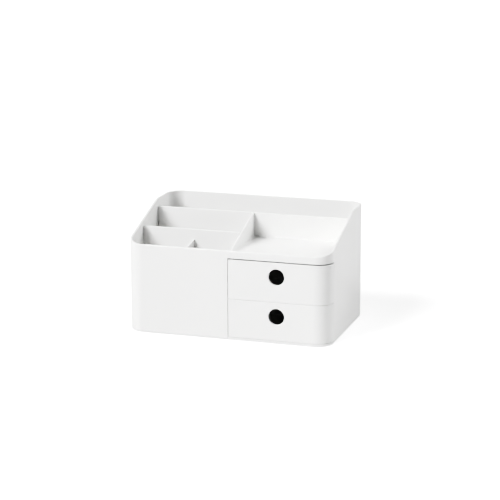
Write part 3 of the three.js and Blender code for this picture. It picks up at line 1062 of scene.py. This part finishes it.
STUDIO_RADIUS = 14.0
STUDIO_WALL = 3.2
STUDIO_SWEEP = 2.0
STUDIO_RINGS = (0.0, 0.5, 3.0)  # radii of the flat middle's rings
STUDIO_SWEEP_STEPS = 10
STUDIO_STEPS = 96
SEEN_WHITE = 0.66  # the floors' own colours, and their wall's
UNDER_WHITE = 0.7
WALL_GREY = 0.3
FLOOR_MOTTLE = 0.04
FLOOR_DROP = 0.1 * MM  # below the feet, so that no two faces share a plane
FLOOR_GLOW = 0.6
WORLD_LIGHT = 0.03
LAMP_DISTANCE = 3.0
SOFTNESS = math.radians(32)
LIGHTS = {
    # name: (azimuth from the front towards +X, elevation, strength)
    "key": (-38.0, 40.0, 2.74),
    "right": (112.0, 47.0, 0.74),
    "back": (142.0, 38.0, 0.82),
}
FILM_CURVE = (
    # (light in, light out): lifts the middle and holds the darks down
    (0.05, 0.028),
    (0.15, 0.2),
    (0.3, 0.455),
    (0.45, 0.635),
    (0.6, 0.77),
    (0.8, 0.875),
)
COMBINED_CURVE = 3  # after the red, green and blue ones

CAMERA_TARGET = Vector((0.0037, 0.0, 0.0896))
CAMERA_AZIMUTH = 17.72  # degrees, from the front towards +X
CAMERA_ELEVATION = 13.81
CAMERA_ROLL = -0.183
CAMERA_DISTANCE = 2.246
CAMERA_LENS = 134.5
CAMERA_CLIP_END = 50.0


def direction(azimuth, elevation):
    """The unit vector from the object towards a place round it."""
    a = math.radians(azimuth)
    e = math.radians(elevation)
    return Vector((math.sin(a) * math.cos(e), -math.cos(a) * math.cos(e), math.sin(e)))


def floor_material(name, near, far, glow):
    """Pale under the object, and a soft grey up the wall, which then throws little light."""
    material, tree, shader, coordinates = blank(name)
    separate = tree.nodes.new("ShaderNodeSeparateXYZ")
    tree.links.new(coordinates, separate.inputs["Vector"])
    wall = mapped(tree, separate.outputs["Z"], 0.0, 0.5 * STUDIO_WALL)
    faint = maths(tree, "MULTIPLY", noise(tree, coordinates, scale=6.0), FLOOR_MOTTLE)
    factor = maths(tree, "ADD", wall, faint)
    colour = blend(tree, factor, (near, near, near), (far, far, far))
    tree.links.new(colour, shader.inputs["Base Color"])
    shader.inputs["Roughness"].default_value = 0.9
    shader.inputs["Specular IOR Level"].default_value = 0.1
    shader.inputs["Emission Color"].default_value = (1, 1, 1, 1)
    fading = maths(tree, "MULTIPLY", maths(tree, "SUBTRACT", 1.0, wall), glow)
    tree.links.new(fading, shader.inputs["Emission Strength"])
    return material


def sweep(name, drop, material):
    """A round floor that sweeps up to a low wall."""
    profile = [(radius, 0.0) for radius in STUDIO_RINGS]
    for k in range(STUDIO_SWEEP_STEPS + 1):
        angle = math.pi / 2 * k / STUDIO_SWEEP_STEPS
        radius = STUDIO_RADIUS - STUDIO_SWEEP * (1 - math.sin(angle))
        profile.append((radius, STUDIO_SWEEP * (1 - math.cos(angle))))
    profile.append((STUDIO_RADIUS, STUDIO_WALL))
    around = STUDIO_STEPS
    bm = bmesh.new()
    rings = []
    for radius, height in profile:
        ring = []
        for k in range(around if radius > 0 else 1):
            angle = 2 * math.pi * k / around
            ring.append(bm.verts.new((radius * math.cos(angle), radius * math.sin(angle), height)))
        rings.append(ring)
    for inner, outer in zip(rings, rings[1:]):
        for i in range(around):
            j = (i + 1) % around
            corners = [inner[i % len(inner)], outer[i], outer[j], inner[j % len(inner)]]
            bm.faces.new(list(dict.fromkeys(corners)))
    mesh = bpy.data.meshes.new(name)
    bm.to_mesh(mesh)
    bm.free()
    mesh.polygons.foreach_set("use_smooth", [True] * len(mesh.polygons))
    mesh.materials.append(material)
    floor = bpy.data.objects.new(name, mesh)
    floor.location.z = -drop
    bpy.context.scene.collection.objects.link(floor)
    return floor


def make_studio():
    """The glowing floor that is seen, and a plain one under it that lights the object."""
    white = floor_material("white_floor", SEEN_WHITE, WALL_GREY, FLOOR_GLOW)
    seen = sweep("floor", FLOOR_DROP, white)
    seen.visible_diffuse = False
    seen.visible_glossy = False
    seen.visible_shadow = False
    pale = floor_material("pale_floor", UNDER_WHITE, WALL_GREY, 0.0)
    under = sweep("under_floor", 2 * FLOOR_DROP, pale)
    under.visible_camera = False


def make_world():
    """A faint even light from all round, so that no shadow is black."""
    world = bpy.data.worlds.new("studio")
    world.use_nodes = True
    background = world.node_tree.nodes["Background"]
    background.inputs["Color"].default_value = (1, 1, 1, 1)
    background.inputs["Strength"].default_value = WORLD_LIGHT
    bpy.context.scene.world = world


def make_lights():
    """Wide soft suns, whose parallel light falls evenly on the floor."""
    for name, (azimuth, elevation, strength) in LIGHTS.items():
        way = direction(azimuth, elevation)
        data = bpy.data.lights.new(name, "SUN")
        data.angle = SOFTNESS
        data.energy = strength
        lamp = bpy.data.objects.new(name, data)
        lamp.location = way * LAMP_DISTANCE
        lamp.rotation_euler = (-way).to_track_quat("-Z", "Y").to_euler()
        bpy.context.scene.collection.objects.link(lamp)


def make_camera():
    """A long lens from a little right of the front, looking slightly down."""
    back = direction(CAMERA_AZIMUTH, CAMERA_ELEVATION)
    roll = math.radians(CAMERA_ROLL)
    right = Vector((0, 0, 1)).cross(back).normalized()
    up = back.cross(right)
    turned_right = right * math.cos(roll) + up * math.sin(roll)
    turned_up = up * math.cos(roll) - right * math.sin(roll)
    data = bpy.data.cameras.new("camera")
    data.lens = CAMERA_LENS
    data.clip_end = CAMERA_CLIP_END
    camera = bpy.data.objects.new("camera", data)
    axes = Matrix((turned_right, turned_up, back)).transposed().to_4x4()
    camera.matrix_world = Matrix.Translation(CAMERA_TARGET + back * CAMERA_DISTANCE) @ axes
    bpy.context.scene.collection.objects.link(camera)
    bpy.context.scene.camera = camera


def make_film():
    """The film's response, as a curve over the plain view transform."""
    view = bpy.context.scene.view_settings
    view.view_transform = "Standard"
    view.use_curve_mapping = True
    mapping = view.curve_mapping
    for light, out in FILM_CURVE:
        mapping.curves[COMBINED_CURVE].points.new(light, out)
    mapping.update()


make_studio()
make_world()
make_lights()
make_camera()
make_film()
